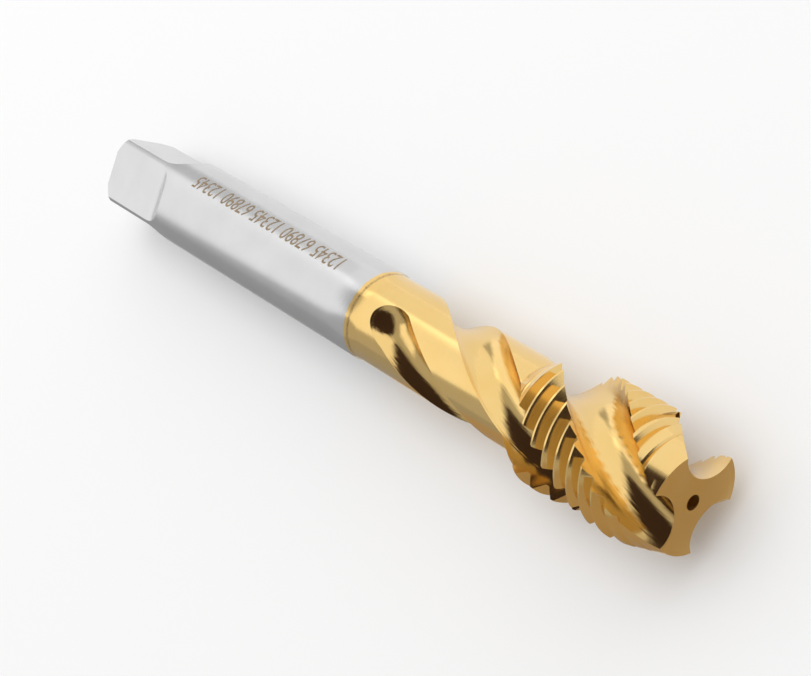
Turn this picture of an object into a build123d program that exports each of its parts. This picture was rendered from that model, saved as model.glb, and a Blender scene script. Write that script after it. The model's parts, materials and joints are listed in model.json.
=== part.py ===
from build123d import *
import math
import os

os.makedirs("parts", exist_ok=True)

# A machine tap, M16 x 2, for blind holes: one bar of high speed steel, turned, milled and ground.
# It is made upright, with the driving square at z = 0 and the cutting tip on top,
# and is laid down along +X at the end. Lengths in millimetres, angles in degrees.

# ---- the turned blank
overall_length = 110.0
shank_diameter = 12.0
shank_length = 55.4          # plain ground shank, square included
neck_diameter = 11.7         # relieved, so that the shank follows the thread into a deep hole
neck_step = 0.6              # length of the small bevel from shank to neck
drive_end_bevel = 0.9        # turned bevel round the square's end
shoulder_angle = 30.0        # cone from the neck up to the thread, from the axis

# ---- the thread
thread_diameter = 16.0
thread_pitch = 2.0
thread_length = 21.1         # along the axis, cutting lead included
flank_angle = 60.0
crest_flat = thread_pitch / 8
root_flat = thread_pitch / 6
thread_phase = 149.4         # angle at which the groove's centre meets the tip's plane

# ---- the cutting lead, relieved behind each cutting edge
lead_length = 5.2
tip_diameter = 13.2          # across the cutting edges at the tip
lead_relief = 0.55           # how far each land's own centre is set over, for the relief
land_half_angle = 22.5       # half of what each land spans at the tip

# ---- the flutes
flute_count = 3
flute_helix_lead = 60.0      # a 40 degree right-hand helix on the thread's diameter
web_radius_tip = 2.8         # solid core left at the tip
web_radius_start = 3.9       # the core thickens toward the shank
flute_rim_radius = 3.3       # rounded rim of the wheel that grinds the flute
flute_wall_flare = 15.0      # each wall opens outward by this angle
flute_wheel_radius = 6.0     # run-out of the flute toward the shank, left by the wheel
flute_start = 63.8           # wheel's centre at the run-out, from the drive end
flute_phase = -14.5          # angle of the first flute, brought back to z = 0

# ---- the driving square
square_across_flats = 9.0
square_length = 10.2         # flat part; the wheel's radius adds the run-out
square_runout_radius = 6.0
square_phase = 17.5

# ---- centre holes
tip_centre_diameter = 1.9
tip_centre_depth = 4.0
drive_centre_diameter = 2.0
drive_centre_depth = 5.5
drive_centre_mouth = 4.2     # 60 degree mouth

lay_turn = 181.44            # turn about the axis in which the tap comes to rest on a table

shank_radius = shank_diameter / 2
neck_radius = neck_diameter / 2
thread_radius = thread_diameter / 2
tip_radius = tip_diameter / 2
thread_start = overall_length - thread_length
shoulder_length = (thread_radius - neck_radius) / math.tan(math.radians(shoulder_angle))
cutter_reach = thread_radius + 2.0      # cutters end out in the air

# ---- blank
profile = [
    (0, 0),
    (shank_radius - drive_end_bevel, 0),
    (shank_radius, drive_end_bevel),
    (shank_radius, shank_length),
    (neck_radius, shank_length + neck_step),
    (neck_radius, thread_start - shoulder_length),
    (thread_radius, thread_start),
    (thread_radius, overall_length),
    (0, overall_length),
]
tap = revolve(Plane.XZ * make_face(Polyline(*profile, close=True)), axis=Axis.Z)

# ---- thread: a V groove wound from in front of the tip down until it leaves the shoulder
groove_half_mouth = (thread_pitch - crest_flat) / 2
flank_slope = math.tan(math.radians(flank_angle / 2))
groove_depth = (groove_half_mouth - root_flat / 2) / flank_slope
root_radius = thread_radius - groove_depth
overrun = 0.15                           # the groove's section stands out past the crest
mouth = groove_half_mouth + overrun * flank_slope
groove_section = [
    (root_radius, -root_flat / 2),
    (thread_radius + overrun, -mouth),
    (thread_radius + overrun, mouth),
    (root_radius, root_flat / 2),
]
groove_face = Plane.XZ * make_face(Polyline(*groove_section, close=True))
one_turn = sweep(
    groove_face,
    path=Helix(pitch=thread_pitch, height=thread_pitch, radius=root_radius),
    is_frenet=True,
)
turns = math.ceil((thread_length + shoulder_length) / thread_pitch) + 1
for turn in range(turns):
    height = overall_length - turn * thread_pitch
    tap -= Pos(0, 0, height) * Rot(0, 0, thread_phase) * one_turn

# ---- flutes: a rounded wheel follows the helix and comes out of the tip
flute_travel = overall_length + cutter_reach - flute_start
web_taper = math.degrees(math.atan((web_radius_start - web_radius_tip) / (overall_length - flute_start)))
flare = math.radians(flute_wall_flare)
rim = flute_rim_radius
wall_low = (rim * math.cos(flare), rim * (1 - math.sin(flare)))


def flute_profile(height):
    """The rim's arc with a flared wall on each side. The rim's lowest point is the origin."""
    wall_high = (wall_low[0] + (height - wall_low[1]) * math.tan(flare), height)
    left_low = (-wall_low[0], wall_low[1])
    left_high = (-wall_high[0], wall_high[1])
    edges = [
        ThreePointArc(left_low, (0, 0), wall_low),
        Line(wall_low, wall_high),
        Line(wall_high, left_high),
        Line(left_high, left_low),
    ]
    return make_face(edges)


flute_path = Helix(
    pitch=flute_helix_lead,
    height=flute_travel,
    radius=web_radius_start,
    cone_angle=-web_taper,
)
start = flute_path @ 0
heading = flute_path % 0
across = Plane(origin=start, x_dir=Vector(1, 0, 0).cross(heading), z_dir=heading)
section = across * flute_profile(cutter_reach - web_radius_tip)
flute = sweep(section, path=flute_path, is_frenet=True)
wheel_section = across * flute_profile(flute_wheel_radius)
wheel_axis = Axis(start + Vector(flute_wheel_radius, 0, 0), across.x_dir)
wheel = revolve(wheel_section, axis=wheel_axis)
for n in range(flute_count):
    angle = flute_phase + flute_start * 360 / flute_helix_lead + n * 360 / flute_count
    place = Pos(0, 0, flute_start) * Rot(0, 0, angle)
    tap -= place * flute
    tap -= place * wheel

# ---- cutting lead: each land is cut back by a cone set over to one side, so it falls away from
# its cutting edge and only that edge touches the work
sector_half = 180 / flute_count
lead_slope = (thread_radius - tip_radius) / lead_length
land_angle = flute_phase + overall_length * 360 / flute_helix_lead + sector_half
edge_rise = lead_relief * math.sin(math.radians(land_half_angle))
overhang = 1.0
for n in range(flute_count):
    angle = land_angle + n * 360 / flute_count
    corner = Vector(2 * cutter_reach, 0, 0)
    sector = make_face(
        Polyline(
            (0, 0, 0),
            corner.rotate(Axis.Z, -sector_half),
            corner,
            corner.rotate(Axis.Z, sector_half),
            close=True,
        )
    )
    stock = extrude(Pos(0, 0, -lead_length - overhang) * sector, lead_length + 2 * overhang)
    cone_height = lead_length + 2 * overhang
    middle_radius = tip_radius - edge_rise + lead_slope * lead_length / 2
    cone = Cone(
        bottom_radius=middle_radius + lead_slope * cone_height / 2,
        top_radius=middle_radius - lead_slope * cone_height / 2,
        height=cone_height,
    )
    stock -= Pos(0, lead_relief, -lead_length / 2) * cone
    tap -= Pos(0, 0, overall_length) * Rot(0, 0, angle) * stock

# ---- driving square: four flats, each run out of the shank by the wheel's radius
half_square = square_across_flats / 2
wheel_centre = (half_square + square_runout_radius, square_length)
wheel_edge = math.sqrt(0.5) * square_runout_radius
flat_edges = [
    Line((half_square, -overhang), (half_square, square_length)),
    ThreePointArc(
        (half_square, square_length),
        (wheel_centre[0] - wheel_edge, wheel_centre[1] + wheel_edge),
        (wheel_centre[0], wheel_centre[1] + square_runout_radius),
    ),
    Line((wheel_centre[0], wheel_centre[1] + square_runout_radius), (wheel_centre[0], -overhang)),
    Line((wheel_centre[0], -overhang), (half_square, -overhang)),
]
flat_cut = extrude(Plane.XZ * make_face(flat_edges), shank_diameter, both=True)
for side in range(4):
    tap -= Rot(0, 0, square_phase + side * 90) * flat_cut

# ---- centre holes, on which the tap is held while it is ground
tip_centre = Pos(0, 0, overall_length - tip_centre_depth) * Cylinder(
    radius=tip_centre_diameter / 2,
    height=tip_centre_depth + overhang,
    align=(Align.CENTER, Align.CENTER, Align.MIN),
)
drive_bore = Cylinder(
    radius=drive_centre_diameter / 2,
    height=drive_centre_depth,
    align=(Align.CENTER, Align.CENTER, Align.MIN),
)
mouth_depth = drive_centre_mouth / 2 / math.tan(math.radians(30))
drive_mouth = Cone(
    bottom_radius=drive_centre_mouth / 2,
    top_radius=0,
    height=mouth_depth,
    align=(Align.CENTER, Align.CENTER, Align.MIN),
)
tap -= tip_centre
tap -= drive_bore
tap -= drive_mouth

# ---- laid down, with the axis along +X
tap = Rot(0, 90, 0) * Rot(0, 0, lay_turn) * tap
tap.label = "tap"
print("tap: solids", len(tap.solids()), "valid", tap.is_valid, "volume", round(tap.volume, 1))
export_step(tap, "parts/tap.step")
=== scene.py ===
# %% [markdown]
# # A spiral-flute thread tap
# This lesson dresses one machine tap that lies on a table. The construction, with its real sizes,
# comes from the frame. Here we give it a finer skin, two metal finishes, a line of etched numbers,
# a studio and a camera.

import json
import math

import bmesh
import bpy
from mathutils import Matrix, Vector

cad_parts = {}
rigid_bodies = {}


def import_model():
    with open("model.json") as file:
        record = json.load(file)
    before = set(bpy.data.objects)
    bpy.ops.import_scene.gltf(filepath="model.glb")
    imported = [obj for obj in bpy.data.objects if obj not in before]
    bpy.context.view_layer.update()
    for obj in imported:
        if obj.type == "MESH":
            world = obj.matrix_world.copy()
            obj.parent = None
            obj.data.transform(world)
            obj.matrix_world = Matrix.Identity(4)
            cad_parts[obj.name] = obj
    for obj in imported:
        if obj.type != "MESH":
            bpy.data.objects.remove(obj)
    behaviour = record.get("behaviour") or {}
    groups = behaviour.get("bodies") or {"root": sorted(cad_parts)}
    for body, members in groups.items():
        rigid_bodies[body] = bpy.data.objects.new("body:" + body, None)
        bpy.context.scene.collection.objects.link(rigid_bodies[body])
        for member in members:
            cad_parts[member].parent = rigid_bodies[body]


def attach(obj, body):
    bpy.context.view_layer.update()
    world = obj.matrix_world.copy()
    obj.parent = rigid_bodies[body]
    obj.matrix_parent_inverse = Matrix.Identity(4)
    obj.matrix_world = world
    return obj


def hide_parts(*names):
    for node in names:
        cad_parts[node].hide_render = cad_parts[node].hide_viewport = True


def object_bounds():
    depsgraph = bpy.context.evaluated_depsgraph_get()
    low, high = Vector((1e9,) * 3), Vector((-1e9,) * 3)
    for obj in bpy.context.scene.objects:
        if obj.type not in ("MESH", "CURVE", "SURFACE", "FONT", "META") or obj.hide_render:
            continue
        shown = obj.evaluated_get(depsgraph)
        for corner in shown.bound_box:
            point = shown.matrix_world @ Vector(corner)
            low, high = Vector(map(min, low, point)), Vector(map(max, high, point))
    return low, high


for left_over in list(bpy.data.objects):
    bpy.data.objects.remove(left_over)
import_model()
cad_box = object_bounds()
MM = 0.001
print("CAD box in mm:", [[round(c / MM, 2) for c in corner] for corner in cad_box])

# %% [markdown]
# ## The sizes
# A tap is a standard tool, so a handful of numbers describes it. The overall length and the
# thread's radius are read from the frame, so they can't drift from it. Every other size stands
# where it is first needed, in millimetres. The tap is made upright, with the drive end at height
# zero and the tip on top, and is laid down when it is done.

# %% Sizes read from the frame
LENGTH = (cad_box[1].x - cad_box[0].x) / MM
THREAD_R = (cad_box[1].y - cad_box[0].y) / 2 / MM
OVERHANG = 1.0  # how far a cutter stands out past the metal
print("length", round(LENGTH, 2), "thread radius", round(THREAD_R, 2))

# %% [markdown]
# ## The blank
# The real tool starts as a bar turned on a lathe: a shank, a neck that is a little thinner, and a
# thicker head for the thread. It could be built from cylinders and cones, but those would have to
# be joined again. A single profile of (radius, height) points, turned about Z, closes in a pole at
# each end and holds water, which the cutting later on depends on. The same lathe makes the drills.


# %% A lathe
def finished(name, mesh):
    """Turns a bmesh into an object whose faces all point outward."""
    bmesh.ops.recalc_face_normals(mesh, faces=mesh.faces)
    if mesh.calc_volume(signed=True) < 0:
        bmesh.ops.reverse_faces(mesh, faces=mesh.faces)
    data = bpy.data.meshes.new(name)
    mesh.to_mesh(data)
    mesh.free()
    made = bpy.data.objects.new(name, data)
    bpy.context.collection.objects.link(made)
    return made


def lathe(name, profile, segments):
    """Turns a profile about Z. Its first and last points lie on the axis."""
    mesh = bmesh.new()
    rings = []
    for radius, height in profile:
        if radius == 0:
            rings.append([mesh.verts.new((0, 0, height))])
            continue
        turn = [math.tau * k / segments for k in range(segments)]
        ring = [mesh.verts.new((radius * math.cos(a), radius * math.sin(a), height)) for a in turn]
        rings.append(ring)
    for low, high in zip(rings, rings[1:]):
        for k in range(segments):
            after = (k + 1) % segments
            if len(low) == 1:
                mesh.faces.new((low[0], high[after], high[k]))
            elif len(high) == 1:
                mesh.faces.new((low[k], low[after], high[0]))
            else:
                mesh.faces.new((low[k], low[after], high[after], high[k]))
    return finished(name, mesh)


def along_bar(radius, start, end, count):
    """Points of a plain stretch, its ends left out. They keep the bar's faces short."""
    return [(radius, start + (end - start) * k / count) for k in range(1, count)]


print("lathe ready")

# %% Turn the blank
SHANK_R = 6.0
SHANK_LENGTH = 55.4
DRIVE_BEVEL = 0.9
NECK_R = 5.85
NECK_STEP = 0.6
THREAD_LENGTH = 21.1
THREAD_START = LENGTH - THREAD_LENGTH
SHOULDER_ANGLE = math.radians(30)
SHOULDER = (THREAD_R - NECK_R) / math.tan(SHOULDER_ANGLE)
BAR_SEGMENTS = 240
neck_start = SHANK_LENGTH + NECK_STEP
neck_end = THREAD_START - SHOULDER
profile = [
    (0, 0),
    (SHANK_R - DRIVE_BEVEL, 0),
    (SHANK_R, DRIVE_BEVEL),
    *along_bar(SHANK_R, DRIVE_BEVEL, SHANK_LENGTH, 16),
    (SHANK_R, SHANK_LENGTH),
    (NECK_R, neck_start),
    *along_bar(NECK_R, neck_start, neck_end, 16),
    (NECK_R, neck_end),
    (THREAD_R, THREAD_START),
    *along_bar(THREAD_R, THREAD_START, LENGTH, 12),
    (THREAD_R, LENGTH),
    (0, LENGTH),
]
blank = lathe("blank", profile, BAR_SEGMENTS)
print("blank:", len(blank.data.vertices), "points")

# %% [markdown]
# ## The wheel of the driving square
# The square is where a wrench or a tap holder drives the tool. Each of its flats is ground by a
# wheel that runs along the bar and lifts off at the end, which leaves a rounded run-out. The flats
# could be modelled on the blank itself, but a cutter with the wheel's outline gives the run-out by
# itself. It is a loft: rings of equally many points, joined by faces and capped at both ends.


# %% A loft
def loft(name, rings):
    """A closed skin over rings of equally many points, with a cap on the first and the last."""
    mesh = bmesh.new()
    rows = [[mesh.verts.new(point) for point in ring] for ring in rings]
    for low, high in zip(rows, rows[1:]):
        for k in range(len(low)):
            after = (k + 1) % len(low)
            mesh.faces.new((low[k], low[after], high[after], high[k]))
    mesh.faces.new(rows[0])
    mesh.faces.new(rows[-1])
    return finished(name, mesh)


print("loft ready")

# %% Wheel that grinds one flat of the square
HALF_SQUARE = 4.5
FLAT_LENGTH = 10.2
FLAT_WHEEL_R = 6.0
FLAT_ARC_STEPS = 24
FLAT_HALF_WIDTH = 2 * SHANK_R
outline = [(HALF_SQUARE, -OVERHANG)]
for k in range(FLAT_ARC_STEPS + 1):
    a = math.pi / 2 * k / FLAT_ARC_STEPS
    away = HALF_SQUARE + FLAT_WHEEL_R * (1 - math.cos(a))
    outline.append((away, FLAT_LENGTH + FLAT_WHEEL_R * math.sin(a)))
outline.append((HALF_SQUARE + FLAT_WHEEL_R, -OVERHANG))
sides = [[(x, y, z) for x, z in outline] for y in (-FLAT_HALF_WIDTH, FLAT_HALF_WIDTH)]
flat_wheel = loft("flat_wheel", sides)
print("flat wheel:", len(flat_wheel.data.polygons), "faces")

# %% [markdown]
# ## The wheel of the cutting lead
# The first few threads at the tip are ground down to a cone, so that the tap starts cutting
# gently. Each land gets its own cone, set over to one side. So the land falls away behind its
# cutting edge and doesn't rub. A plain cone on the blank would be simpler, but would leave no such
# relief. The cutter for one land is a loft round the axis, and the tree copies it to each land.

# %% Wheel that grinds the lead of one land
FLUTES = 3
SECTOR = math.pi / FLUTES  # half of what one land and one flute span
SECTOR_STEPS = 60
LEAD_LENGTH = 5.2
TIP_R = 6.6
LEAD_RELIEF = 0.55
LAND_HALF_ANGLE = math.radians(22.5)
STOCK_R = 20.0
lead_slope = (THREAD_R - TIP_R) / LEAD_LENGTH
edge_rise = LEAD_RELIEF * math.sin(LAND_HALF_ANGLE)


def set_over_cone(angle, height):
    """Distance from the tap's axis to the land's own cone, at a height above the tip."""
    cone_r = TIP_R - edge_rise - lead_slope * height
    toward = LEAD_RELIEF * math.sin(angle)
    across = LEAD_RELIEF * math.cos(angle)
    return toward + math.sqrt(cone_r**2 - across**2)


sections = []
for k in range(SECTOR_STEPS + 1):
    a = -SECTOR + 2 * SECTOR * k / SECTOR_STEPS
    low, high = -LEAD_LENGTH - OVERHANG, OVERHANG
    corners = (
        (set_over_cone(a, low), low),
        (STOCK_R, low),
        (STOCK_R, high),
        (set_over_cone(a, high), high),
    )
    sections.append([(r * math.cos(a), r * math.sin(a), LENGTH + h) for r, h in corners])
lead_wheel = loft("lead_wheel", sections)
print("lead wheel:", len(lead_wheel.data.polygons), "faces")

# %% [markdown]
# ## The wheel of the flutes
# The flutes carry the chips up and out of a blind hole. A wheel with a rounded rim grinds each of
# them along a helix. The core gets thinner toward the tip, and where the flute starts, the wheel
# swings out of the bar about its own axle. Curve to Mesh would carry a section along the helix, but
# the swing about the axle and the slight lean of the wheel need a direction of their own at every
# step. So the steps are worked out one by one, each with the rim's lowest point, the way outward
# and the way sideways, and a loft joins them.

# %% Rim of the flute wheel
RIM_R = 3.3
RIM_STEPS = 18
WALL_FLARE = math.radians(15)
FLUTE_WHEEL_R = 6.0
AXLE_GAP = 0.05  # the section ends short of the axle, so it doesn't fold over as it swings


def rim_half(top):
    """Half of the rim as (sideways, outward) points, from beside its lowest point up to top."""
    arc_end = math.pi / 2 - WALL_FLARE
    points = []
    for k in range(1, RIM_STEPS + 1):
        a = arc_end * k / RIM_STEPS
        points.append((RIM_R * math.sin(a), RIM_R * (1 - math.cos(a))))
    side, rise = points[-1]
    for share in (0.5, 1.0):
        extra = (top - rise) * share
        points.append((side + extra * math.tan(WALL_FLARE), rise + extra))
    return points


half = rim_half(FLUTE_WHEEL_R - AXLE_GAP)
rim = [(-side, rise) for side, rise in reversed(half)] + [(0, 0)] + half
print("rim:", len(rim), "points,", round(2 * half[-1][0], 2), "mm across at the top")

# %% Path of the flute wheel
FLUTE_LEAD = 60.0
FLUTE_START = 63.8
WEB_START = 3.9
WEB_TIP = 2.8
RUNOUT_SWING = math.radians(75)
RUNOUT_STEPS = 24
HELIX_STEPS = 180
climb = FLUTE_LEAD / math.tau
flute_run = LENGTH + OVERHANG + RIM_R - FLUTE_START
web_taper = (WEB_START - WEB_TIP) / (LENGTH - FLUTE_START)


def runout_frame(swing):
    """The wheel at the flute's start, swung out of the bar about its own axle."""
    heading = Vector((0, WEB_START, climb)).normalized()
    outward = Vector((math.cos(swing), 0, 0)) + math.sin(swing) * heading
    axle = Vector((WEB_START + FLUTE_WHEEL_R, 0, 0))
    return axle - FLUTE_WHEEL_R * outward, outward, heading.cross((1, 0, 0))


def taper_lean(web):
    return math.atan(2 * web_taper * climb / web)


def helix_frame(rise):
    """The wheel on the helix. It leans over a little as the core gets thinner."""
    turn = rise / climb
    web = WEB_START - web_taper * rise
    radial = Vector((math.cos(turn), math.sin(turn), 0))
    heading = Vector((-web * math.sin(turn), web * math.cos(turn), climb)).normalized()
    outward = Matrix.Rotation(taper_lean(web) - taper_lean(WEB_START), 3, heading) @ radial
    return web * radial + Vector((0, 0, rise)), outward, heading.cross(outward)


frames = [runout_frame(RUNOUT_SWING * k / RUNOUT_STEPS) for k in range(RUNOUT_STEPS, 0, -1)]
frames += [helix_frame(flute_run * k / HELIX_STEPS) for k in range(HELIX_STEPS + 1)]
print("flute path:", len(frames), "frames over", round(flute_run, 1), "mm")

# %% Cutter of one flute
foot = Vector((0, 0, FLUTE_START))
rings = []
for low_point, outward, sideways in frames:
    rings.append([foot + low_point + sideways * side + outward * rise for side, rise in rim])
flute_cutter = loft("flute_cutter", rings)
print("flute cutter:", len(flute_cutter.data.polygons), "faces")

# %% [markdown]
# ## The centre drills
# The tool is ground between two points, which sit in a small hole in each end. The hole in the
# drive end has a 60 degree mouth. A cylinder and a cone could be joined for it, but a profile for
# the lathe gives one closed cutter straight away.

# %% Centre drills for both ends
TIP_HOLE_R = 0.95
TIP_HOLE_DEPTH = 4.0
DRIVE_HOLE_R = 1.0
DRIVE_HOLE_DEPTH = 5.5
MOUTH_R = 2.1
MOUTH_SLOPE = math.tan(math.radians(30))
HOLE_SEGMENTS = 48
tip_drill = lathe(
    "tip_drill",
    [
        (0, LENGTH - TIP_HOLE_DEPTH),
        (TIP_HOLE_R, LENGTH - TIP_HOLE_DEPTH),
        (TIP_HOLE_R, LENGTH + OVERHANG),
        (0, LENGTH + OVERHANG),
    ],
    HOLE_SEGMENTS,
)
drive_drill = lathe(
    "drive_drill",
    [
        (0, -OVERHANG),
        (MOUTH_R + OVERHANG * MOUTH_SLOPE, -OVERHANG),
        (DRIVE_HOLE_R, (MOUTH_R - DRIVE_HOLE_R) / MOUTH_SLOPE),
        (DRIVE_HOLE_R, DRIVE_HOLE_DEPTH),
        (0, DRIVE_HOLE_DEPTH),
    ],
    HOLE_SEGMENTS,
)
print("drills:", len(tip_drill.data.polygons) + len(drive_drill.data.polygons), "faces")

# %% [markdown]
# ## Cutting the tap
# The thread is one groove that follows a helix, and the other cuts repeat round the axis. Both are
# work for Geometry Nodes: a Spiral node makes the groove's path, Curve to Mesh carries its section
# along it, and the flute, lead and flat cutters are copied round the axis. Mesh Booleans then take
# them from the blank one after another. Screw and Array modifiers could do it too, but here the
# groove's sizes, the counts and the angles are inputs of one tree, so another pitch or number of
# flutes is a change of a number. The tree ends by making the copies real and setting the finish,
# and its result is turned into a plain mesh. Like a real tap, it is simply what the cutters leave.


# %% Sockets in Python expressions
class Value:
    """A socket in a Python expression: a + b adds a Math node."""

    def __init__(self, builder, socket):
        self.builder, self.socket = builder, socket

    def __add__(self, other):
        return self.builder.math("ADD", self, other)

    def __sub__(self, other):
        return self.builder.math("SUBTRACT", self, other)

    def __rsub__(self, other):
        return self.builder.math("SUBTRACT", other, self)

    def __mul__(self, other):
        return self.builder.math("MULTIPLY", self, other)

    def __truediv__(self, other):
        return self.builder.math("DIVIDE", self, other)

    def __rtruediv__(self, other):
        return self.builder.math("DIVIDE", other, self)

    __radd__, __rmul__ = __add__, __mul__

    def clamp(self):
        return self.builder.math("MINIMUM", self.builder.math("MAXIMUM", self, 0.0), 1.0)

    def above(self, edge, softness):
        """0 below the edge, 1 above it, over a soft width."""
        return ((self - edge) / softness + 0.5).clamp()

    def split(self):
        """The X, Y and Z of a vector."""
        first = self.builder.node("ShaderNodeSeparateXYZ", None, {0: self})
        return [Value(self.builder, part) for part in first.socket.node.outputs]


print("value class ready")


# %% A small builder for node trees
class Builder:
    """Adds nodes to a tree: a type, its settings, and values or links for its sockets."""

    def __init__(self, tree):
        self.tree = tree

    def node(self, kind, settings=None, sockets=None, out=0):
        made = self.tree.nodes.new(kind)
        for key, value in (settings or {}).items():
            setattr(made, key, value)
        for key, value in (sockets or {}).items():
            if isinstance(value, Value):
                self.tree.links.new(value.socket, made.inputs[key])
            else:
                made.inputs[key].default_value = value
        return Value(self, made.outputs[out]) if made.outputs else made

    def math(self, operation, *values):
        return self.node("ShaderNodeMath", {"operation": operation}, dict(enumerate(values)))

    def vector(self, x=0.0, y=0.0, z=0.0):
        return self.node("ShaderNodeCombineXYZ", None, {"X": x, "Y": y, "Z": z})


print("builder ready")

# %% Sizes of the thread and angles of the cutters
PITCH = 2.0
CREST_FLAT = PITCH / 8
ROOT_FLAT = PITCH / 6
FLANK_SLOPE = math.tan(math.radians(30))
GROOVE_OVERRUN = 0.15  # how far the groove's section stands out past the crest
GROOVE_ANGLE = math.radians(149.4)
FLUTE_PHASE = math.radians(-14.5)
FLAT_PHASE = math.radians(17.5)
CREASE = math.radians(28)
turn_per_mm = math.tau / FLUTE_LEAD
groove_depth = (PITCH - CREST_FLAT - ROOT_FLAT) / 2 / FLANK_SLOPE
groove_run = THREAD_LENGTH + SHOULDER + PITCH
# the groove's foot lies whole turns below the tip, so the groove's angle at the tip holds there
groove_foot = LENGTH + PITCH - math.ceil(groove_run / PITCH) * PITCH
print("groove:", round(groove_depth, 2), "mm deep,", round(groove_run / PITCH, 1), "turns")

# %% Inputs of the tree
tap_material = bpy.data.materials.new("ground_steel_and_gold_coat")
inputs = {
    "Thread pitch": ("NodeSocketFloat", PITCH),
    "Thread turns": ("NodeSocketFloat", groove_run / PITCH),
    "Groove root radius": ("NodeSocketFloat", THREAD_R - groove_depth),
    "Groove root width": ("NodeSocketFloat", ROOT_FLAT),
    "Groove mouth width": ("NodeSocketFloat", PITCH - CREST_FLAT + 2 * GROOVE_OVERRUN * FLANK_SLOPE),
    "Groove section height": ("NodeSocketFloat", groove_depth + GROOVE_OVERRUN),
    "Groove foot": ("NodeSocketFloat", groove_foot),
    "Groove angle": ("NodeSocketFloat", GROOVE_ANGLE),
    "Flute count": ("NodeSocketInt", FLUTES),
    "Flute angle": ("NodeSocketFloat", FLUTE_PHASE + FLUTE_START * turn_per_mm),
    "Lead angle": ("NodeSocketFloat", FLUTE_PHASE + LENGTH * turn_per_mm + SECTOR),
    "Flat count": ("NodeSocketInt", 4),
    "Flat angle": ("NodeSocketFloat", FLAT_PHASE),
    "Crease angle": ("NodeSocketFloat", CREASE),
    "Flute cutter": ("NodeSocketObject", flute_cutter),
    "Lead wheel": ("NodeSocketObject", lead_wheel),
    "Flat wheel": ("NodeSocketObject", flat_wheel),
    "Tip drill": ("NodeSocketObject", tip_drill),
    "Drive drill": ("NodeSocketObject", drive_drill),
    "Finish": ("NodeSocketMaterial", tap_material),
}
print("tree inputs:", len(inputs))

# %% The tree and its sockets
form = bpy.data.node_groups.new("cut_the_tap", "GeometryNodeTree")
form.is_modifier = True
form.interface.new_socket("Blank", in_out="INPUT", socket_type="NodeSocketGeometry")
identifiers = {}
for name, (kind, value) in inputs.items():
    socket = form.interface.new_socket(name, in_out="INPUT", socket_type=kind)
    identifiers[name] = socket.identifier
form.interface.new_socket("Tap", in_out="OUTPUT", socket_type="NodeSocketGeometry")
build = Builder(form)
entrance = build.node("NodeGroupInput").socket.node
given = {name: Value(build, entrance.outputs[name]) for name in ["Blank", *inputs]}
print("values to build with:", len(given))

# %% Section of the thread's groove
section = build.node(
    "GeometryNodeCurvePrimitiveQuadrilateral",
    {"mode": "TRAPEZOID"},
    {
        "Bottom Width": given["Groove root width"],
        "Top Width": given["Groove mouth width"],
        "Height": given["Groove section height"],
        "Offset": 0.0,
    },
)
root_inward = build.node(
    "GeometryNodeTransform",
    None,
    {
        "Geometry": section,
        "Translation": build.vector(given["Groove section height"] / 2),
        "Rotation": (0, 0, -math.pi / 2),
    },
)
print("nodes for the section:", len(form.nodes))

# %% Wind the groove along its helix
STEPS_PER_TURN = 120
path = build.node(
    "GeometryNodeCurveSpiral",
    None,
    {
        "Resolution": STEPS_PER_TURN,
        "Rotations": given["Thread turns"],
        "Start Radius": given["Groove root radius"],
        "End Radius": given["Groove root radius"],
        "Height": given["Thread turns"] * given["Thread pitch"],
        "Reverse": True,
    },
)
upright = build.node("GeometryNodeSetCurveNormal", {"mode": "Z_UP"}, {"Curve": path})
groove = build.node(
    "GeometryNodeCurveToMesh",
    None,
    {"Curve": upright, "Profile Curve": root_inward, "Fill Caps": True},
)
placed_groove = build.node(
    "GeometryNodeTransform",
    None,
    {
        "Geometry": groove,
        "Translation": build.vector(z=given["Groove foot"]),
        "Rotation": build.vector(z=given["Groove angle"]),
    },
)
print("nodes for the groove:", len(form.nodes))


# %% Copy the cutters round the axis
def solid_of(name):
    return build.node("GeometryNodeObjectInfo", None, {"Object": given[name]}, out="Geometry")


def round_the_axis(solid, count, first_angle):
    """Copies of a solid, evenly round Z."""
    row = build.node("GeometryNodeMeshLine", None, {"Count": count, "Offset": (0, 0, 0)})
    index = build.node("GeometryNodeInputIndex")
    turn = build.vector(z=index * (math.tau / count) + first_angle)
    copies = build.node(
        "GeometryNodeInstanceOnPoints", None, {"Points": row, "Instance": solid, "Rotation": turn}
    )
    return build.node("GeometryNodeRealizeInstances", None, {"Geometry": copies})


leads = round_the_axis(solid_of("Lead wheel"), given["Flute count"], given["Lead angle"])
flutes = round_the_axis(solid_of("Flute cutter"), given["Flute count"], given["Flute angle"])
flats = round_the_axis(solid_of("Flat wheel"), given["Flat count"], given["Flat angle"])
print("nodes with the copies:", len(form.nodes))

# %% Cut, keep the ground edges sharp, and hand over
cut = given["Blank"]
for taken in (placed_groove, leads, flutes, flats, solid_of("Tip drill"), solid_of("Drive drill")):
    cut = build.node(
        "GeometryNodeMeshBoolean",
        {"operation": "DIFFERENCE", "solver": "MANIFOLD"},
        {"Mesh 1": cut, "Mesh 2": taken},
    )
round_edge = build.node(
    "FunctionNodeCompare",
    {"data_type": "FLOAT", "operation": "LESS_THAN"},
    {"A": build.node("GeometryNodeInputMeshEdgeAngle"), "B": given["Crease angle"]},
)
soft = build.node(
    "GeometryNodeSetShadeSmooth", {"domain": "FACE"}, {"Geometry": cut, "Shade Smooth": True}
)
creased = build.node(
    "GeometryNodeSetShadeSmooth", {"domain": "EDGE"}, {"Geometry": soft, "Shade Smooth": round_edge}
)
whole = build.node("GeometryNodeRealizeInstances", None, {"Geometry": creased})
dressed = build.node(
    "GeometryNodeSetMaterial", None, {"Geometry": whole, "Material": given["Finish"]}
)
build.node("NodeGroupOutput", None, {"Tap": dressed})
print("nodes in the whole tree:", len(form.nodes))

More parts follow.
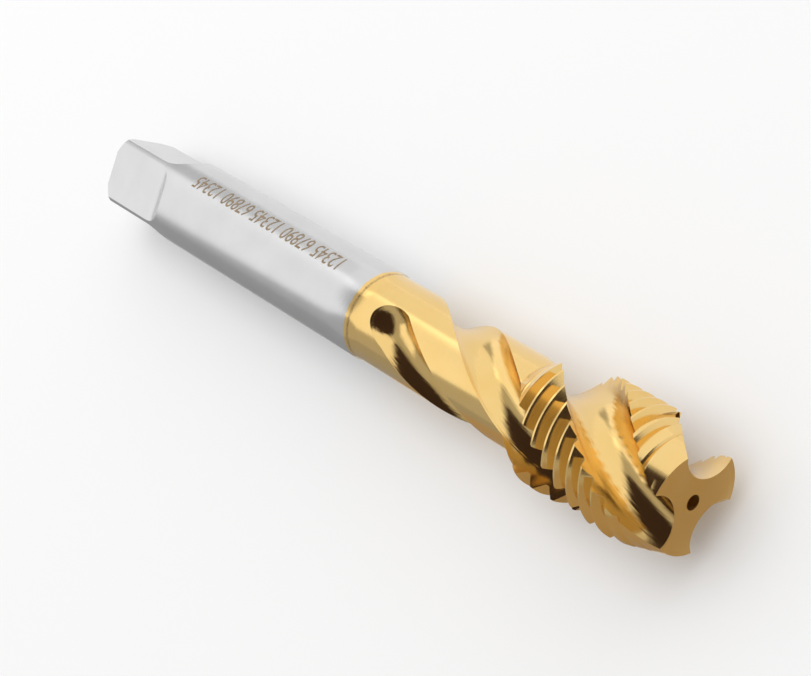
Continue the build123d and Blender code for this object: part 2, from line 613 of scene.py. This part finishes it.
# %% Run the tree and lay the tap down
LAY_TURN = math.radians(181.44)
cutting = blank.modifiers.new("cut", "NODES")
cutting.node_group = form
# inputs are set by their identifiers, before the object is first evaluated
for name, (kind, value) in inputs.items():
    cutting[identifiers[name]] = value
bpy.context.view_layer.update()
shape = bpy.data.meshes.new_from_object(blank.evaluated_get(bpy.context.evaluated_depsgraph_get()))
blank.modifiers.remove(cutting)
for tool in (blank, flat_wheel, lead_wheel, flute_cutter, tip_drill, drive_drill):
    bpy.data.objects.remove(tool)
lay_down = Matrix.Rotation(math.pi / 2, 4, "Y") @ Matrix.Rotation(LAY_TURN, 4, "Z")
to_frame = Matrix.Scale(MM, 4) @ lay_down
shape.transform(to_frame)
# the cutting leaves an empty material slot behind
for slot in reversed(range(len(shape.materials))):
    if shape.materials[slot] is None:
        shape.materials.pop(index=slot)
tap = bpy.data.objects.new("ground_tap", shape)
bpy.context.collection.objects.link(tap)
triangles = sum(len(face.vertices) - 2 for face in shape.polygons)
print("tap:", triangles, "triangles,", [finish.name for finish in shape.materials])

# %% [markdown]
# ## Two finishes on one bar
# The shank is bare steel, ground round on its centres, so its fine lines run round the bar. From
# the neck on, the tool wears a thin hard coat of gold-coloured nitride. The coat follows every
# grinding line under it: round the bar on the lands and the thread, and along the helix in the
# flutes. Two materials on separate faces would need a cut in the mesh at the coat's edge. One
# material holds both here, because on the real tool the coat simply ends on the small step between
# shank and neck, with a slightly ragged edge and a thin burnt line. The maths is written as Python
# expressions with the Value class.

# %% A material with one shader
COLOUR_A, COLOUR_B, COLOUR_OUT = 6, 7, 2  # the Mix node's colour sockets


class Finish(Builder):
    """A material with one Principled shader. Fixed values go straight to its sockets."""

    def __init__(self, material, **fixed):
        material.use_nodes = True
        super().__init__(material.node_tree)
        self.material = material
        self.shader = self.tree.nodes["Principled BSDF"]
        for key, value in fixed.items():
            self.shader.inputs[key.replace("_", " ")].default_value = value

    def feed(self, **values):
        for key, value in values.items():
            self.tree.links.new(value.socket, self.shader.inputs[key.replace("_", " ")])

    def noise(self, place, scale, detail=2.0):
        sockets = {"Vector": place, "Scale": scale, "Detail": detail, "Roughness": 0.5}
        return self.node("ShaderNodeTexNoise", None, sockets)

    def mix(self, factor, a, b):
        """A colour between two colours, each a triple or a value."""
        a, b = ((*colour, 1.0) if isinstance(colour, tuple) else colour for colour in (a, b))
        sockets = {0: factor, COLOUR_A: a, COLOUR_B: b}
        return self.node("ShaderNodeMix", {"data_type": "RGBA"}, sockets, out=COLOUR_OUT)


print("finish class ready")

# %% Where a point lies on the tap, in millimetres
steel = Finish(tap_material, Metallic=1.0)
place = steel.node("ShaderNodeTexCoord", out="Object")
place_mm = steel.node("ShaderNodeVectorMath", {"operation": "SCALE"}, {0: place, "Scale": 1 / MM})
along, side, rise = place_mm.split()
radius = steel.math("SQRT", side * side + rise * rise)
FLUTE_MARGIN = 4.5  # the run-out reaches about this far back from the flute's start
in_flute = (1.0 - radius.above(NECK_R - 0.12, 0.1)) * along.above(FLUTE_START - FLUTE_MARGIN, 0.2)
tip_face = along.above(LENGTH - 0.03, 0.02)
drive_face = 1.0 - along.above(0.03, 0.02)
near_axis = 1.0 - radius.above(TIP_HOLE_R + 0.15, 0.1)
tip_hole = near_axis * along.above(LENGTH - TIP_HOLE_DEPTH - 1.0, 0.5)
print("nodes for the places:", len(steel.tree.nodes))

# %% Edge of the coat
COAT_END = SHANK_LENGTH + 0.1
BURNT_AT = SHANK_LENGTH + NECK_STEP + 0.1
BURNT_HALF = 0.2
RAGGEDNESS = 0.3
grain = steel.noise(place_mm, 1.6, 4.0)
ragged = along + (grain - 0.5) * RAGGEDNESS
coat = ragged.above(COAT_END, 0.15)
burnt = ragged.above(BURNT_AT - BURNT_HALF, 0.15) * (1.0 - ragged.above(BURNT_AT + BURNT_HALF, 0.25))
speckle = steel.noise(place_mm, 5.0, 3.0).above(0.56, 0.08)
print("coat from", round(COAT_END, 1), "mm to the tip")

# %% Grinding lines
ROUND_STRETCH = (9.0, 0.25, 0.25)  # quick change along the bar, slow change round it
HELIX_STRETCH = (0.06, 6.0, 6.0)  # and the other way round, once the helix is unwound
round_place = [part * scale for part, scale in zip((along, side, rise), ROUND_STRETCH)]
round_lines = steel.noise(steel.vector(*round_place), 1.0, 3.0)
unwound = steel.node(
    "ShaderNodeVectorRotate",
    {"rotation_type": "X_AXIS"},
    {"Vector": place_mm, "Angle": along * (-math.tau / FLUTE_LEAD)},
)
_, spun_side, spun_rise = unwound.split()
helix_place = [part * scale for part, scale in zip((along, spun_side, spun_rise), HELIX_STRETCH)]
helix_lines = steel.noise(steel.vector(*helix_place), 1.0, 3.0)
lines = round_lines * (1.0 - in_flute) + helix_lines * in_flute
print("nodes with the lines:", len(steel.tree.nodes))

# %% Colours
BARE = (0.62, 0.62, 0.62), (0.70, 0.70, 0.70)
GOLD = (0.84, 0.56, 0.19), (0.88, 0.63, 0.27)
BURNT = (0.33, 0.20, 0.09)
cloud = steel.noise(place_mm, 0.22)
bare_steel = steel.mix(cloud, *BARE)
gold_coat = steel.mix(cloud, *GOLD)
edged_coat = steel.mix(burnt * (speckle * 0.6 + 0.35), gold_coat, BURNT)
steel.feed(Base_Color=steel.mix(coat, bare_steel, edged_coat))
print("bare steel", BARE[0], "to", BARE[1], "and gold", GOLD[0], "to", GOLD[1])

# %% Shine and relief
BARE_ROUGHNESS = 0.22
LINE_ROUGHNESS = 0.06
COAT_SHINE = 0.1
FLUTE_SHINE = 0.05
FACE_DULLNESS = 0.3
ROUND_DEPTH = 4.0  # depths in units of the Bump node's distance, a thousandth of a millimetre
HELIX_DEPTH = 22.0
FACE_DEPTH = 8.0
ground = lines * LINE_ROUGHNESS + BARE_ROUGHNESS - coat * COAT_SHINE - in_flute * FLUTE_SHINE
dull = (tip_hole + tip_face + drive_face) * FACE_DULLNESS
relief = round_lines * (1.0 - in_flute) * ROUND_DEPTH + helix_lines * in_flute * HELIX_DEPTH
height = relief + tip_face * grain * FACE_DEPTH
bump = steel.node(
    "ShaderNodeBump", None, {"Strength": 1.0, "Distance": 0.001 * MM, "Height": height}
)
steel.feed(Roughness=(ground + dull).clamp(), Normal=bump)
print("nodes with the relief:", len(steel.tree.nodes))

# %% Tie the tap to the frame
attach(tap, "root")
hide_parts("tap")
print("nodes in the tap's finish:", len(steel.tree.nodes))

# %% [markdown]
# ## Etched numbers
# A laser darkens the shank with a line of small brown figures. They have no height to speak of. An
# image would need a picture file, and figures cut by a Boolean would tear the fine mesh. So they
# are a skin about a hundredth of a millimetre thick. The flat figures are first cut into narrow
# strips, so that they can follow the round bar without dipping into it, and are then bent round it.

# %% Flat figures
TEXT_WIDTH = 31.8
TEXT_HEIGHT = 2.3
writing = bpy.data.curves.new("shank_numbers", "FONT")
writing.body = "12345 67890 12345 67890 12345"
writing.extrude = 0.01
writing_object = bpy.data.objects.new("numbers_flat", writing)
bpy.context.collection.objects.link(writing_object)
bpy.context.view_layer.update()
letters = bpy.data.meshes.new_from_object(writing_object)
bpy.data.objects.remove(writing_object)
skin = bmesh.new()
skin.from_mesh(letters)
bmesh.ops.remove_doubles(skin, verts=skin.verts, dist=1e-6)
xs = [v.co.x for v in skin.verts]
ys = [v.co.y for v in skin.verts]
low_x, high_x, low_y, high_y = min(xs), max(xs), min(ys), max(ys)
print("figures as typed:", round(high_x - low_x, 2), "by", round(high_y - low_y, 2))

# %% Scale them and cut them into strips
SKIN = 0.015
STRIPS = 8
for v in skin.verts:
    v.co.x = (v.co.x - low_x) / (high_x - low_x) * TEXT_WIDTH
    v.co.y = (v.co.y - low_y) / (high_y - low_y) * TEXT_HEIGHT
    v.co.z = SKIN if v.co.z > 0 else -SKIN
for k in range(1, STRIPS):
    cut_at = (0, TEXT_HEIGHT * k / STRIPS, 0)
    everything = skin.verts[:] + skin.edges[:] + skin.faces[:]
    bmesh.ops.bisect_plane(skin, geom=everything, plane_co=cut_at, plane_no=(0, 1, 0))
print("figures in strips:", len(skin.faces), "faces")

# %% Bend them round the shank
TEXT_TOP = math.radians(-19.0)  # angle of the line's upper edge, before the tap is laid down
TEXT_START = 49.8
for v in skin.verts:
    angle = TEXT_TOP + (v.co.y - TEXT_HEIGHT) / SHANK_R
    reach = SHANK_R + SKIN / 2 + v.co.z / 2
    v.co = Vector((reach * math.cos(angle), reach * math.sin(angle), TEXT_START - v.co.x))
bmesh.ops.transform(skin, matrix=to_frame, verts=skin.verts)
numbers = finished("shank_numbers", skin)
etch = Finish(bpy.data.materials.new("laser_etch"), Metallic=0.0)
etch_place = etch.node("ShaderNodeTexCoord", out="Object")
fade = etch.noise(etch_place, 2500.0)
etch.feed(
    Base_Color=etch.mix(fade.above(0.5, 0.5), (0.20, 0.13, 0.07), (0.36, 0.27, 0.17)),
    Roughness=fade * 0.2 + 0.5,
)
numbers.data.materials.append(etch.material)
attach(numbers, "root")
print("numbers:", len(numbers.data.polygons), "faces,", SKIN, "mm thick")

# %% [markdown]
# ## The table
# The tap lies on the start of its thread and on the end of its square. The thread is the thicker
# of the two, so a lying tap leans a little. The frame keeps the axis level, so the table leans
# here instead. It is plain white with hardly any shine, and it isn't attached to the tap's body.

# %% Leaning table
lean = math.atan((THREAD_R - SHANK_R) / THREAD_START)
table_mesh = bmesh.new()
bmesh.ops.create_grid(table_mesh, x_segments=2, y_segments=2, size=2.0)
table = finished("table_top", table_mesh)
table.location = (THREAD_START * MM, 0, -THREAD_R * MM)
table.rotation_euler = (0, lean, 0)


def cloth(name, colour, roughness, specular):
    """A plain, dull surface."""
    fixed = {"Base_Color": (*colour, 1), "Roughness": roughness, "Specular_IOR_Level": specular}
    return Finish(bpy.data.materials.new(name), **fixed).material


table.data.materials.append(cloth("white_table", (0.93, 0.93, 0.93), 0.8, 0.2))
print("table leans by", round(math.degrees(lean), 2), "degrees")

# %% [markdown]
# ## The light
# Polished metal shows what stands round it, so the surroundings matter more than the strength of
# the lamps. An image of a studio wrapped round the scene would do, but it would be one more file.
# Here two large soft boxes stand on the far side and behind the drive end. A dark canopy above and
# a dark front beyond the tip stand for the unlit part of the room, and draw the brown streaks in
# the flutes. A grey and a warm sheet on the table are painted shadow: the tap's own shadow on the
# table, as the near side mirrors it. The canopy, the front and these painted shadows are cards that
# only reflections can see. A wide lamp overhead lights the table and the tap, and is left out of
# reflections.

# %% World and lamps
world = bpy.data.worlds.new("studio")
bpy.context.scene.world = world
world.use_nodes = True
world.node_tree.nodes["Background"].inputs["Color"].default_value = (0.5, 0.5, 0.5, 1)
middle = Vector((0.05, 0, 0))


def soft_box(name, at, width, height, glow):
    """A soft box that faces the tap. Its power grows with its area, so glow sets how bright it looks."""
    lamp = bpy.data.lights.new(name, "AREA")
    lamp.shape = "RECTANGLE"
    lamp.size, lamp.size_y = width, height
    lamp.energy = glow * math.pi * width * height
    made = bpy.data.objects.new(name, lamp)
    bpy.context.collection.objects.link(made)
    made.location = at
    made.rotation_euler = (middle - Vector(at)).to_track_quat("-Z", "Y").to_euler()
    return made


lamps = [
    soft_box("box_far_side", (-0.06, 0.52, 0.33), 0.95, 0.85, 0.54),
    soft_box("box_behind_drive_end", (-0.60, -0.06, 0.33), 0.95, 0.75, 0.63),
    soft_box("table_lamp", (0.05, 0, 1.5), 1.6, 1.6, 1.3),
]
lamps[-1].visible_glossy = False
print("lamps in watts:", [round(lamp.data.energy, 2) for lamp in lamps])


# %% Dark canopy and dark front
def card(name, corners, colour):
    """A plain card that only reflections can see."""
    mesh = bmesh.new()
    mesh.faces.new([mesh.verts.new(corner) for corner in corners])
    made = finished(name, mesh)
    made.visible_camera = made.visible_diffuse = made.visible_shadow = False
    made.data.materials.append(cloth(name + "_cloth", colour, 1.0, 0.0))


def toward(azimuth, distance, height):
    """A point at a distance and a height from the tap's middle. Azimuth 0 is where the tip points."""
    a = math.radians(azimuth)
    return middle + Vector((distance * math.cos(a), distance * math.sin(a), height))


BROWN_BLACK = (0.05, 0.032, 0.03)
CANOPY_HEIGHT = 0.6
canopy = [(60, 0.8), (95, 0.2), (130, 0.2), (170, 0.16), (-98, 0.8), (-60, 0.9), (-20, 0.95), (25, 0.9)]
card("dark_canopy", [toward(azimuth, reach, CANOPY_HEIGHT) for azimuth, reach in canopy], BROWN_BLACK)
front = [(-20, 1.4, 0.35), (35, 1.4, 0.35), (35, 1.4, 0.0), (-20, 1.4, 0.0)]
card("dark_front", [toward(*corner) for corner in front], BROWN_BLACK)
print("canopy:", len(canopy), "corners at", CANOPY_HEIGHT, "m")

# %% Painted shadows on the table
PAINTED_SHADOW_GAP = 0.0002


def painted_table_shadow(name, outline, colour):
    """A painted shadow of the tap, just above the leaning table, given by its outline in X and Y."""
    slope = math.tan(lean)
    resting = PAINTED_SHADOW_GAP - THREAD_R * MM
    corners = [(x, y, resting + (THREAD_START * MM - x) * slope) for x, y in outline]
    card(name, corners, colour)


# painted shadow: a grey sheet by the shank and a warm one round the tip stand for the tap's own shadow
# on the table, seen only in reflections
shadow_by_shank = [(-0.3, -0.009), (0.055, -0.009), (0.055, -0.7), (-0.5, -0.7)]
shadow_round_tip = [(0.055, -0.009), (0.112, -0.009), (0.112, 0.012), (0.6, 0.08), (0.7, -0.7), (0.055, -0.7)]
painted_table_shadow("grey_cloth", shadow_by_shank, (0.38, 0.38, 0.38))
painted_table_shadow("warm_cloth", shadow_round_tip, (0.44, 0.35, 0.25))
print("painted_shadows lie", round(PAINTED_SHADOW_GAP / MM, 1), "mm above the table")

# %% [markdown]
# ## The camera
# The tap is shown from its tip end and from well above, about a quarter of a metre away, so its
# drive end looks a little smaller than it would beside the tip. The camera could be turned by hand,
# but a point to aim at keeps the tap in the middle while the place or the lens is changed. A roll
# then lays the tap across the picture from corner to corner. Standard is the view transform, so
# that colours come out about as they are written.

# %% Camera
CAMERA_AT = Vector((0.25264, -0.00512, 0.20341))
CAMERA_AIM = Vector((0.06089, -0.00074, -0.00002))
CAMERA_ROLL = math.radians(-57.21)
lens = bpy.data.cameras.new("camera")
lens.lens = 101.2
lens.clip_start, lens.clip_end = 0.01, 20.0
camera = bpy.data.objects.new("camera", lens)
bpy.context.collection.objects.link(camera)
camera.location = CAMERA_AT
looking = (CAMERA_AIM - CAMERA_AT).to_track_quat("-Z", "Y").to_matrix()
camera.rotation_euler = (looking @ Matrix.Rotation(CAMERA_ROLL, 3, "Z")).to_euler()
bpy.context.scene.camera = camera
bpy.context.scene.view_settings.view_transform = "Standard"
print("camera", round((CAMERA_AIM - CAMERA_AT).length, 3), "m from its aim")
